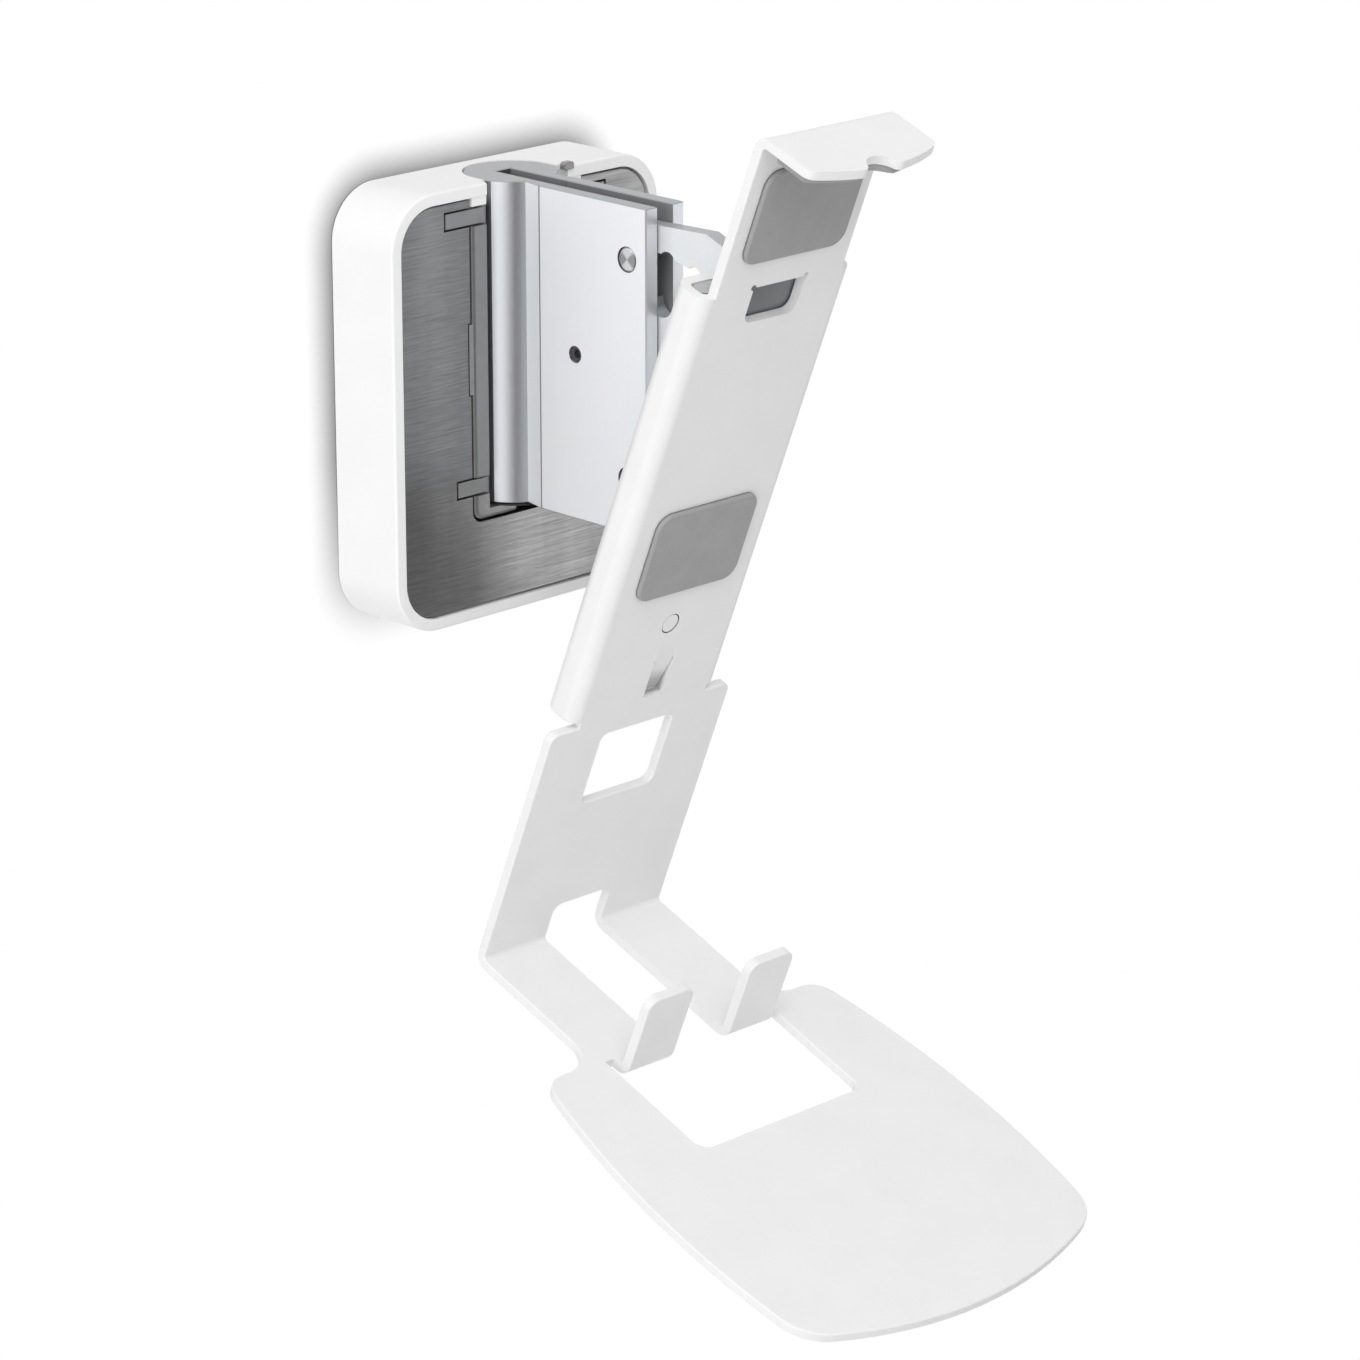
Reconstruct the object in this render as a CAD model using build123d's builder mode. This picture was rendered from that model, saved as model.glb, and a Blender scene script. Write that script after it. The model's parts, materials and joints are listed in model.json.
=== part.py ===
from build123d import *

import os
from math import cos, radians, sin, sqrt, tan

os.makedirs("parts", exist_ok=True)

# Speaker wall bracket: a wall box, an arm that pans in it, and a folded rest that tilts on the arm.
# The wall is the plane y = 0, the bracket stands out from it along -Y, and Z is up.
# The origin is on the wall, behind the middle of the wall box. Lengths are in millimetres.

# Clearances
running_gap = 0.3
fit_gap = 0.3
rivet_fit = 0.05

# Slack for picking corners and edges by their place
picking_slack = 0.05

# Wall box
box_width = 106.0
box_corner_radius = 16.0
box_edge_radius = 0.8
cover_wall = 2.4
rim_width = 3.6
ledge_width = 2.0
ledge_thickness = 2.4
face_plate_recess = 0.75
face_plate_thickness = 1.2
face_plate_gap = 0.6
rim_groove_depth = 1.6
face_plate_edge_radius = 0.25
wall_plate_thickness = 2.5
wall_hole_diameter = 5.5
wall_hole_head = 8.6
wall_hole_inset = 12.3

# Arm: a round barrel, a flared neck and two prongs with a deep slot between them
barrel_radius = 13.9
barrel_inset = 7.1
arm_top_drop = 0.2
arm_foot_rise = 33.6
arm_thickness = 15.2
arm_slot_width = 6.2
arm_reach = 63.5
neck_width = 12.0
neck_run = 5.7
neck_groove = 0.5
slot_past_axis = 3.5
arm_end_chamfer = 0.4
arm_edge_chamfer = 0.3

# Cradle that the barrel turns in
cradle_wall = 7.5
cradle_back_wall = 1.8
cradle_top_drop = 6.6
cradle_setback = 0.3
cradle_edge_radius = 1.4
cradle_lip_depth = 2.8
cradle_groove = 2.45
cradle_corner_radius = 3.0
cradle_gap = 0.6
foot_thickness = 3.0
foot_gap = 11.0
thrust_washer_thickness = 0.5
thrust_washer_bore = 14.0
shoe_width = 12.0
shoe_height = 50.0
side_tab_reach = 1.3
side_tab_height = 21.0
side_tab_rise = 38.2
cradle_screw_diameter = 3.5
cradle_screw_head = 6.8
cradle_screw_length = 14.0
cradle_screw_inset = 17.0

# Clips that hold the face plate, and the small block beside the top of the barrel
clip_height = 4.6
clip_thickness = 2.0
clip_gap = 0.5
clip_edge_radius = 0.3
clip_leg_width = 3.6
clip_leg_depth = 6.0
upper_clip_overhang = 9.9
lower_clip_overhang = 6.3
lower_clip_rise = 10.35
top_clip_width = 3.8
top_clip_height = 2.2
top_clip_rise = 1.2
top_clip_proud = 0.8
top_clip_corner = 0.9

# Rivets through the prongs, and the grub screw in the near prong
rivet_diameter = 5.0
rivet_head_diameter = 7.0
rivet_head_thickness = 1.6
rivet_head_gap = 0.3
rivet_head_chamfer = 0.4
rivet_setback = 7.7
pivot_above_arm_foot = 15.9
rivet_spacing = 64.6
guide_below_arm_top = 15.7
bush_wall = 1.5
washer_diameter = 13.0
washer_thickness = 0.5
washer_gap = 0.1
lock_screw_diameter = 5.0
lock_screw_depth = 0.9
lock_screw_tip_gap = 0.8
lock_screw_reach = 34.4
lock_screw_height = 49.0
lock_screw_socket = 2.5

# Tilt of the speaker rest from upright: as it stands, the most that it allows, and its notches
tilt_rest = 21.65
tilt_most = 27.0
detent_count = 3
detent_pitch = 9.6

# Upright of the folded sheet, from the foot up
upright_height = 280.8
sheet = 3.0
sheet_edge_radius = 0.5
bend_radius = 1.5
channel_width = 60.0
channel_mouth_gap = 1.75
foot_step = 6.5
head_inset = 0.25
foot_top = 82.5
foot_corner_radius = 3.0
bend_relief = 2.0
stop_above_channel_foot = 29.0
pivot_above_stop = 36.0
channel_above_guide = 12.6
low_window_width = 29.0
low_window_height = 25.3
low_window_drop = 5.4
low_window_corner = 2.6
high_window_width = 20.6
high_window_height = 11.9
high_window_rise = 0.8
high_window_corner = 3.2
high_window_relief = 1.1
stop_tab_width = 17.0
stop_tab_depth = 4.0
finger_middle = 2.3
finger_width = 7.2
finger_length = 12.8
finger_rise = 3.0
finger_set = 2.7
finger_slit = 0.4
stop_rivet_diameter = 6.0
stop_rivet_body = 8.0
stop_rivet_gap = 0.35
stop_rivet_recess = 0.15

# Lip at the head of the sheet
lip_side_reach = 17.5
lip_nose_reach = 22.4
lip_corner_radius = 3.5
lip_notch_radius = 6.0
lip_notch_floor = 16.9
lip_notch_fillet = 2.4

# Tongue that carries the speaker
tongue_length = 180.3
tongue_nose_radius = 153.5
tongue_nose_step = 4.3
tongue_nose_fillet = 16.0
tongue_side_bulge = 8.9
tongue_widest = 110.0
tongue_rear = 51.0
tongue_rear_flat = 1.0
tongue_inner_fillet = 10.5
tongue_rear_fillet = 8.5
cable_slot_width = 23.2
cable_slot_top = 12.7
cable_slot_corner = 3.2
window_length = 36.3
window_corner = 4.5
tab_behind_window = 7.7
tab_width = 18.4
tab_height = 26.0
tab_corner = 3.8
tab_relief_width = 3.2
tab_relief_depth = 2.0

# Pads
pad_height = 30.0
pad_margin = 5.25
pad_thickness = 1.5
pad_corner = 5.0
pad_edge_radius = 0.5
upper_pad_drop = 8.3
lower_pad_rise = 12.5
lip_pad_margin = 1.5
lip_pad_thickness = 2.2

# Tilt carrier: a T profile, its flange in the channel and its web in the slot of the arm
carrier_flange = 5.0
carrier_gap = 0.5
carrier_top_gap = 0.9
arm_end_gap = 2.25
web_cut_start = 28.0
web_cut_angle = 23.2
web_margin = 9.6
web_foot_drop = 24.5
hub_wall = 5.5
guide_gap = 0.3
guide_depth = 14.0
detent_radius = 3.2
detent_depth = 1.4
detent_relief = 4.2

# Places on the wall box and the arm
bore_radius = barrel_radius + running_gap
box_depth = wall_plate_thickness + cradle_back_wall + bore_radius + barrel_inset
arm_height = pivot_above_arm_foot + rivet_spacing + guide_below_arm_top
box_height = arm_top_drop + arm_height + arm_foot_rise
box_top = box_height / 2
axis_y = barrel_inset - box_depth
arm_top = box_top - arm_top_drop
arm_foot = arm_top - arm_height
arm_end_y = axis_y - arm_reach
arm_side = arm_thickness / 2
prong = (arm_thickness - arm_slot_width) / 2
rivet_y = arm_end_y + rivet_setback
pivot_z = arm_foot + pivot_above_arm_foot
guide_z = pivot_z + rivet_spacing
plate_front = box_depth - face_plate_recess
plate_back = plate_front - face_plate_thickness
plate_width = box_width - 2 * rim_width
plate_height = box_height - 2 * rim_width
plate_corner_radius = box_corner_radius - rim_width
cradle_width = 2 * (bore_radius + cradle_wall)
cradle_front = box_depth - cradle_setback
cradle_top = box_top - cradle_top_drop
foot_z = arm_foot - running_gap - thrust_washer_thickness
cradle_foot = foot_z - foot_thickness
cradle_height = cradle_top - cradle_foot
cradle_middle = (cradle_top + cradle_foot) / 2
lip_y = cradle_lip_depth - cradle_front
mouth_half = sqrt(bore_radius**2 - (axis_y - lip_y) ** 2)
groove_half = mouth_half + cradle_groove
screw_x = bore_radius + cradle_wall / 2
screw_spots = [
    (side * screw_x, z)
    for side in (-1, 1)
    for z in (cradle_foot + cradle_screw_inset, cradle_top - cradle_screw_inset)
]
side_tab_middle = cradle_foot + side_tab_rise + side_tab_height / 2
upper_clip_middle = cradle_top - clip_height / 2 - clip_gap
lower_clip_middle = cradle_foot + lower_clip_rise

# Places on the speaker rest, measured up the sheet from the tongue or out from the sheet's front
web_thickness = arm_slot_width - 2 * (washer_thickness + washer_gap)
flange_back = sheet + carrier_gap + carrier_flange
channel_depth = flange_back + carrier_gap + sheet
channel_bottom = foot_top + bend_relief
stop_height = channel_bottom + stop_above_channel_foot
pivot_height = stop_height + pivot_above_stop
guide_outer = rivet_spacing + rivet_diameter / 2 + guide_gap
guide_inner = guide_outer - guide_depth
channel_top = pivot_height + guide_outer + channel_above_guide
high_window_top = channel_top + high_window_rise
carrier_top = high_window_top - carrier_top_gap
carrier_bottom = stop_height + stop_rivet_body / 2 + running_gap
lip_under = upright_height - sheet
arm_corner = rivet_setback * cos(radians(tilt_most)) + pivot_above_arm_foot * sin(radians(tilt_most))
pivot_depth = flange_back + arm_end_gap + arm_corner
fold_radius = bend_radius + sheet
low_window_top = foot_top - low_window_drop
low_window_foot = low_window_top - low_window_height
foot_width = channel_width + 2 * foot_step
head_width = channel_width - 2 * (fold_radius + head_inset)
head_half = head_width / 2
tab_front = tongue_rear + tab_behind_window
tab_fold = tab_front - fold_radius
tab_inner = cable_slot_width / 2
tab_outer = tab_inner + tab_width
tab_middle = (tab_inner + tab_outer) / 2
window_width = 2 * (tab_outer + tab_relief_width)
window_front = tab_front + window_length
rear_half = foot_width / 2 + tongue_inner_fillet + tongue_rear_flat + tongue_rear_fillet
side_half = rear_half + tongue_side_bulge
nose_half = side_half - tongue_nose_step
nose_corner = tongue_length - tongue_nose_radius + sqrt(tongue_nose_radius**2 - nose_half**2)

# Frames of the speaker rest: their origin is where the front of the sheet meets the top of the tongue
out = Vector(0, -cos(radians(tilt_rest)), -sin(radians(tilt_rest)))
up = Vector(0, -sin(radians(tilt_rest)), cos(radians(tilt_rest)))
rest_origin = Vector(0, rivet_y, pivot_z) + out * pivot_depth - up * pivot_height
face_plane = Plane(origin=rest_origin, x_dir=(1, 0, 0), z_dir=out)
level_plane = Plane(origin=rest_origin, x_dir=(1, 0, 0), z_dir=up * -1)
side_plane = Plane(origin=rest_origin, x_dir=out, z_dir=(-1, 0, 0))
up_axis = Axis(tuple(rest_origin), tuple(up))
out_axis = Axis(tuple(rest_origin), tuple(out))
wall_plane = Plane.XZ
behind_wall_plane = Plane(origin=(0, 0, 0), x_dir=(1, 0, 0), z_dir=(0, 1, 0))


def corners_at(outline, half, height):
    """The two corners of an outline at a height, one on each side of its middle."""
    return outline.vertices().filter_by(
        lambda corner: abs(abs(corner.X) - half) < picking_slack
        and abs(corner.Y - height) < picking_slack
    )


# Wall plate, screwed to the wall through its corner holes
wall_plate_inset = cover_wall + fit_gap
wall_plate_width = box_width - 2 * wall_plate_inset
wall_plate_height = box_height - 2 * wall_plate_inset
with BuildPart() as wall_plate:
    with BuildSketch(wall_plane):
        RectangleRounded(wall_plate_width, wall_plate_height, box_corner_radius - wall_plate_inset)
    extrude(amount=wall_plate_thickness)
    with Locations(wall_plane.offset(wall_plate_thickness)):
        with GridLocations(
            wall_plate_width - 2 * wall_hole_inset, wall_plate_height - 2 * wall_hole_inset, 2, 2
        ):
            CounterSinkHole(wall_hole_diameter / 2, wall_hole_head / 2, wall_plate_thickness)
    with Locations(behind_wall_plane):
        with Locations([(x, -z) for x, z in screw_spots]):
            CounterSinkHole(
                cradle_screw_diameter / 2 + rivet_fit,
                cradle_screw_head / 2 + rivet_fit,
                wall_plate_thickness,
            )
wall_plate.part.label = "wall_plate"
export_step(wall_plate.part, "parts/wall_plate.step")

# Cradle, a moulding with a bore that wraps the barrel, a groove on both sides of the bore's mouth,
# two feet under the barrel and recesses for the clips
with BuildPart() as arm_cradle:
    with BuildSketch(wall_plane.offset(wall_plate_thickness)) as cradle_outline:
        with Locations((0, cradle_middle)):
            Rectangle(cradle_width, cradle_height)
        fillet(cradle_outline.vertices().group_by(Axis.Y)[0], cradle_corner_radius)
    extrude(amount=cradle_front - wall_plate_thickness)
    fillet(arm_cradle.faces().sort_by(Axis.Y)[0].edges().filter_by(Axis.Z), cradle_edge_radius)
    with BuildSketch(Plane.XY.offset(foot_z)):
        with Locations((0, axis_y)):
            Circle(bore_radius)
        with Locations((0, lip_y)):
            Rectangle(2 * groove_half, box_depth, align=(Align.CENTER, Align.MAX))
    extrude(amount=cradle_top - foot_z, mode=Mode.SUBTRACT)
    with BuildSketch(Plane.XY.offset(cradle_foot)):
        with Locations((0, -cradle_front)):
            Rectangle(foot_gap, 2 * (cradle_front + axis_y))
    extrude(amount=foot_thickness, mode=Mode.SUBTRACT)
    with BuildSketch(wall_plane.offset(wall_plate_thickness)):
        with Locations((0, cradle_middle)):
            Rectangle(shoe_width + 2 * fit_gap, shoe_height + 2 * fit_gap)
    extrude(amount=-axis_y - wall_plate_thickness, mode=Mode.SUBTRACT)
    for clip_middle in (upper_clip_middle, lower_clip_middle):
        with BuildSketch(wall_plane.offset(plate_front - clip_thickness)):
            with Locations((0, clip_middle)):
                Rectangle(cradle_width, clip_height + 2 * clip_gap)
        extrude(amount=box_depth, mode=Mode.SUBTRACT)
        with BuildSketch(wall_plane.offset(plate_front - clip_thickness)):
            with Locations((-screw_x, clip_middle), (screw_x, clip_middle)):
                Rectangle(clip_leg_width + 2 * clip_gap, clip_height)
        extrude(amount=-clip_leg_depth - clip_gap, mode=Mode.SUBTRACT)
    with BuildSketch(wall_plane.offset(plate_back)):
        with Locations((0, side_tab_middle)):
            Rectangle(cradle_width + 2 * side_tab_reach, side_tab_height)
            Rectangle(cradle_width - cradle_wall, side_tab_height, mode=Mode.SUBTRACT)
    extrude(amount=face_plate_thickness)
    with Locations(behind_wall_plane.offset(-wall_plate_thickness)):
        with Locations([(x, -z) for x, z in screw_spots]):
            Hole(cradle_screw_diameter / 2 + rivet_fit, cradle_screw_length)
arm_cradle.part.label = "arm_cradle"
export_step(arm_cradle.part, "parts/arm_cradle.step")

# Countersunk screws that hold the cradle on the wall plate
screw_cone = (cradle_screw_head - cradle_screw_diameter) / 2
with BuildPart() as cradle_screws:
    for x, z in screw_spots:
        with BuildSketch(Plane(origin=(x, 0, z), x_dir=(1, 0, 0), z_dir=(0, 0, 1))):
            with BuildLine():
                Polyline(
                    (0, 0),
                    (cradle_screw_head / 2, 0),
                    (cradle_screw_diameter / 2, -screw_cone),
                    (cradle_screw_diameter / 2, screw_cone - cradle_screw_length),
                    (0, -cradle_screw_length),
                    close=True,
                )
            make_face()
        revolve(axis=Axis((x, 0, z), (0, 1, 0)))
cradle_screws.part.label = "cradle_screws"
export_step(cradle_screws.part, "parts/cradle_screws.step")

# Brake shoe, pressed on the back of the barrel so that the arm stays where it is turned
with BuildPart() as brake_shoe:
    with BuildSketch(wall_plane.offset(wall_plate_thickness)):
        with Locations((0, cradle_middle)):
            Rectangle(shoe_width, shoe_height)
    extrude(amount=-axis_y - wall_plate_thickness)
    with BuildSketch(Plane.XY.offset(cradle_foot)):
        with Locations((0, axis_y)):
            Circle(bore_radius)
    extrude(amount=cradle_height, mode=Mode.SUBTRACT)
brake_shoe.part.label = "brake_shoe"
export_step(brake_shoe.part, "parts/brake_shoe.step")

# Thrust washer under the barrel, lying on the feet of the cradle
with BuildPart() as thrust_washer:
    with BuildSketch(Plane.XY.offset(foot_z)):
        with Locations((0, axis_y)):
            Circle(barrel_radius)
            Circle(thrust_washer_bore / 2, mode=Mode.SUBTRACT)
    extrude(amount=thrust_washer_thickness)
thrust_washer.part.label = "thrust_washer"
export_step(thrust_washer.part, "parts/thrust_washer.step")

# Cover, a moulded shell with a rim and a shadow groove round the face plate, and a cut-out for the barrel
top_clip_left = bore_radius
top_clip_foot = box_top + top_clip_rise - top_clip_height
top_clip_back = plate_front - clip_gap
rim_tab_front = box_depth - cradle_setback
with BuildPart() as wall_cover:
    with BuildSketch(wall_plane):
        RectangleRounded(box_width, box_height, box_corner_radius)
    extrude(amount=box_depth)
    fillet(wall_cover.faces().sort_by(Axis.Y)[0].edges(), box_edge_radius)
    with BuildSketch(wall_plane):
        RectangleRounded(
            box_width - 2 * cover_wall, box_height - 2 * cover_wall, box_corner_radius - cover_wall
        )
    extrude(amount=plate_back - ledge_thickness, mode=Mode.SUBTRACT)
    with BuildSketch(wall_plane):
        RectangleRounded(
            plate_width - 2 * ledge_width,
            plate_height - 2 * ledge_width,
            plate_corner_radius - ledge_width,
        )
    extrude(amount=box_depth, mode=Mode.SUBTRACT)
    with BuildSketch(wall_plane.offset(plate_back)):
        RectangleRounded(plate_width, plate_height, plate_corner_radius)
    extrude(amount=box_depth, mode=Mode.SUBTRACT)
    with BuildSketch(wall_plane.offset(plate_back)):
        RectangleRounded(plate_width, plate_height, plate_corner_radius)
        RectangleRounded(
            plate_width - 2 * face_plate_gap,
            plate_height - 2 * face_plate_gap,
            plate_corner_radius - face_plate_gap,
            mode=Mode.SUBTRACT,
        )
    extrude(amount=-rim_groove_depth, mode=Mode.SUBTRACT)
    with BuildSketch(wall_plane.offset(plate_back - ledge_thickness)):
        with Locations((0, cradle_top + fit_gap)):
            Rectangle(
                cradle_width,
                box_top - cover_wall - cradle_top - fit_gap,
                align=(Align.CENTER, Align.MIN),
            )
    extrude(amount=rim_tab_front - plate_back + ledge_thickness)
    with BuildSketch(Plane.XY.offset(cradle_top)):
        with Locations((0, axis_y)):
            Circle(bore_radius)
            Rectangle(2 * bore_radius, box_depth, align=(Align.CENTER, Align.MAX))
        with Locations((0, lip_y)):
            Rectangle(2 * groove_half, box_depth, align=(Align.CENTER, Align.MAX))
    extrude(amount=box_height, mode=Mode.SUBTRACT)
    with BuildSketch(wall_plane.offset(top_clip_back)):
        with Locations((top_clip_left - fit_gap, top_clip_foot)):
            Rectangle(top_clip_width + 2 * fit_gap, box_height, align=(Align.MIN, Align.MIN))
    extrude(amount=box_depth, mode=Mode.SUBTRACT)
wall_cover.part.label = "wall_cover"
export_step(wall_cover.part, "parts/wall_cover.step")

# Face plate, brushed sheet with a tall cut-out for the cradle and slots for the clips
clip_rows = ((upper_clip_middle, upper_clip_overhang), (lower_clip_middle, lower_clip_overhang))
with BuildPart() as face_plate:
    with BuildSketch(wall_plane.offset(plate_back)) as plate_outline:
        RectangleRounded(
            plate_width - 2 * face_plate_gap,
            plate_height - 2 * face_plate_gap,
            plate_corner_radius - face_plate_gap,
        )
        with Locations((0, cradle_foot - cradle_gap)):
            Rectangle(
                cradle_width + 2 * cradle_gap,
                plate_height,
                align=(Align.CENTER, Align.MIN),
                mode=Mode.SUBTRACT,
            )
        fillet(
            corners_at(plate_outline, cradle_width / 2 + cradle_gap, cradle_foot - cradle_gap),
            cradle_corner_radius + cradle_gap,
        )
        for clip_middle, overhang in clip_rows:
            with Locations((0, clip_middle)):
                Rectangle(
                    cradle_width + 2 * (overhang + clip_gap),
                    clip_height + 2 * clip_gap,
                    mode=Mode.SUBTRACT,
                )
        with Locations((0, side_tab_middle)):
            Rectangle(
                cradle_width + 2 * (side_tab_reach + fit_gap),
                side_tab_height + 2 * fit_gap,
                mode=Mode.SUBTRACT,
            )
    extrude(amount=face_plate_thickness)
    fillet(face_plate.faces().sort_by(Axis.Y)[0].edges(), face_plate_edge_radius)
face_plate.part.label = "face_plate"
export_step(face_plate.part, "parts/face_plate.step")


def clips_at(middle, overhang):
    """A left and a right clip: a flat bar in its slot of the face plate, with a leg in the cradle."""
    inner_end = groove_half
    outer_end = cradle_width / 2 + overhang
    with BuildPart() as clips:
        for side in (-1, 1):
            with BuildSketch(wall_plane.offset(plate_front - clip_thickness)):
                with Locations((side * (inner_end + outer_end) / 2, middle)):
                    Rectangle(outer_end - inner_end, clip_height)
            extrude(amount=clip_thickness)
            with BuildSketch(wall_plane.offset(plate_front - clip_thickness)):
                with Locations((side * screw_x, middle)):
                    Rectangle(clip_leg_width, clip_height - 2 * clip_gap)
            extrude(amount=-clip_leg_depth)
        fillet(clips.faces().group_by(Axis.Y)[0].edges(), clip_edge_radius)
    return clips


upper_clips = clips_at(upper_clip_middle, upper_clip_overhang)
upper_clips.part.label = "upper_clips"
export_step(upper_clips.part, "parts/upper_clips.step")

lower_clips = clips_at(lower_clip_middle, lower_clip_overhang)
lower_clips.part.label = "lower_clips"
export_step(lower_clips.part, "parts/lower_clips.step")

# Small block on the rim, beside the top of the barrel and a little higher than the cover
with BuildPart() as top_clip:
    with BuildSketch(wall_plane.offset(top_clip_back)) as top_clip_outline:
        with Locations((top_clip_left, top_clip_foot)):
            Rectangle(top_clip_width, top_clip_height, align=(Align.MIN, Align.MIN))
        fillet(top_clip_outline.vertices().group_by(Axis.Y)[-1], top_clip_corner)
    extrude(amount=box_depth + top_clip_proud - top_clip_back)
    fillet(top_clip.faces().sort_by(Axis.Y)[0].edges(), clip_edge_radius)
top_clip.part.label = "top_clip"
export_step(top_clip.part, "parts/top_clip.step")

# Arm, one extrusion: barrel, flared neck and two prongs, with a fine groove where the neck ends
barrel_half_chord = sqrt(barrel_radius**2 - neck_width**2 / 4)
neck_end_y = axis_y - barrel_radius - neck_run
with BuildPart() as arm:
    with BuildSketch(Plane.XY.offset(arm_foot)):
        with Locations((0, axis_y)):
            Circle(barrel_radius)
        with BuildLine():
            Polyline(
                (-neck_width / 2, axis_y),
                (-neck_width / 2, axis_y - barrel_half_chord),
                (-arm_side, neck_end_y),
                (-arm_side, arm_end_y),
                (arm_side, arm_end_y),
                (arm_side, neck_end_y),
                (neck_width / 2, axis_y - barrel_half_chord),
                (neck_width / 2, axis_y),
                close=True,
            )
        make_face()
    extrude(amount=arm_height)
    chamfer(arm.faces().sort_by(Axis.Y)[0].edges().filter_by(Axis.Z), arm_end_chamfer)
    with BuildSketch(Plane.XY.offset(arm_foot)):
        with Locations((0, axis_y + slot_past_axis)):
            Rectangle(arm_slot_width, arm_reach + slot_past_axis, align=(Align.CENTER, Align.MAX))
    extrude(amount=arm_height, mode=Mode.SUBTRACT)
    arm_ends = arm.faces().sort_by(Axis.Z)
    chamfer(arm_ends[0].edges() + arm_ends[-1].edges(), arm_edge_chamfer)
    for side in (-1, 1):
        with BuildSketch(Plane.XY.offset(arm_foot)):
            with BuildLine():
                Polyline(
                    (side * arm_side, neck_end_y),
                    (side * (arm_side - neck_groove), neck_end_y - neck_groove / 2),
                    (side * arm_side, neck_end_y - neck_groove),
                    close=True,
                )
            make_face()
        extrude(amount=arm_height, mode=Mode.SUBTRACT)
    for side in (-1, 1):
        with Locations(Plane(origin=(side * arm_side, 0, 0), x_dir=(0, side, 0), z_dir=(side, 0, 0))):
            with Locations((side * rivet_y, pivot_z), (side * rivet_y, guide_z)):
                CounterBoreHole(
                    rivet_diameter / 2 + rivet_fit,
                    rivet_head_diameter / 2 + rivet_head_gap,
                    rivet_head_thickness,
                    prong + washer_thickness,
                )
    with Locations(Plane(origin=(-arm_side, 0, 0), x_dir=(0, -1, 0), z_dir=(-1, 0, 0))):
        with Locations((lock_screw_reach - axis_y, arm_foot + lock_screw_height)):
            Hole(lock_screw_diameter / 2 + rivet_fit, prong + washer_thickness)
arm.part.label = "arm"
export_step(arm.part, "parts/arm.step")


def rivet_at(height):
    """A rivet across both prongs, its two heads sunk flush with the sides of the arm."""
    end = arm_side - rivet_fit
    head_inner = arm_side - rivet_head_thickness + rivet_fit
    head_radius = rivet_head_diameter / 2
    face_radius = head_radius - rivet_head_chamfer
    rim = end - rivet_head_chamfer
    with BuildPart() as rivet:
        with BuildSketch(Plane(origin=(0, rivet_y, height), x_dir=(1, 0, 0), z_dir=(0, 0, 1))):
            with BuildLine():
                Polyline(
                    (-end, 0),
                    (-end, face_radius),
                    (-rim, head_radius),
                    (-head_inner, head_radius),
                    (-head_inner, rivet_diameter / 2),
                    (head_inner, rivet_diameter / 2),
                    (head_inner, head_radius),
                    (rim, head_radius),
                    (end, face_radius),
                    (end, 0),
                    close=True,
                )
            make_face()
        revolve(axis=Axis((0, rivet_y, height), (1, 0, 0)))
    return rivet


pivot_rivet = rivet_at(pivot_z)
pivot_rivet.part.label = "pivot_rivet"
export_step(pivot_rivet.part, "parts/pivot_rivet.step")

guide_rivet = rivet_at(guide_z)
guide_rivet.part.label = "guide_rivet"
export_step(guide_rivet.part, "parts/guide_rivet.step")

# Grub screw in the near prong, with a six-sided socket
lock_screw_plane = Plane(
    origin=(lock_screw_depth - arm_side, axis_y - lock_screw_reach, arm_foot + lock_screw_height),
    x_dir=(0, -1, 0),
    z_dir=(-1, 0, 0),
)
lock_screw_length = prong - lock_screw_depth - lock_screw_tip_gap
with BuildPart() as lock_screw:
    with BuildSketch(lock_screw_plane):
        Circle(lock_screw_diameter / 2)
    extrude(amount=-lock_screw_length)
    with BuildSketch(lock_screw_plane):
        RegularPolygon(lock_screw_socket / 2, 6, major_radius=False)
    extrude(amount=-lock_screw_length / 2, mode=Mode.SUBTRACT)
lock_screw.part.label = "lock_screw"
export_step(lock_screw.part, "parts/lock_screw.step")

# Bush of the pivot, in the web, and the friction washers on both sides of the web
pivot_plane = Plane(origin=(0, rivet_y, pivot_z), x_dir=out, z_dir=(-1, 0, 0))
bush_radius = rivet_diameter / 2 + rivet_fit + bush_wall
with BuildPart() as pivot_bush:
    with BuildSketch(pivot_plane):
        Circle(bush_radius)
        Circle(rivet_diameter / 2 + rivet_fit, mode=Mode.SUBTRACT)
    extrude(amount=web_thickness / 2, both=True)
pivot_bush.part.label = "pivot_bush"
export_step(pivot_bush.part, "parts/pivot_bush.step")

with BuildPart() as friction_washers:
    for side in (-1, 1):
        with BuildSketch(pivot_plane.offset(side * (web_thickness + washer_thickness) / 2)):
            Circle(washer_diameter / 2)
            Circle(rivet_diameter / 2 + rivet_fit, mode=Mode.SUBTRACT)
        extrude(amount=washer_thickness / 2, both=True)
friction_washers.part.label = "friction_washers"
export_step(friction_washers.part, "parts/friction_washers.step")

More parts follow.
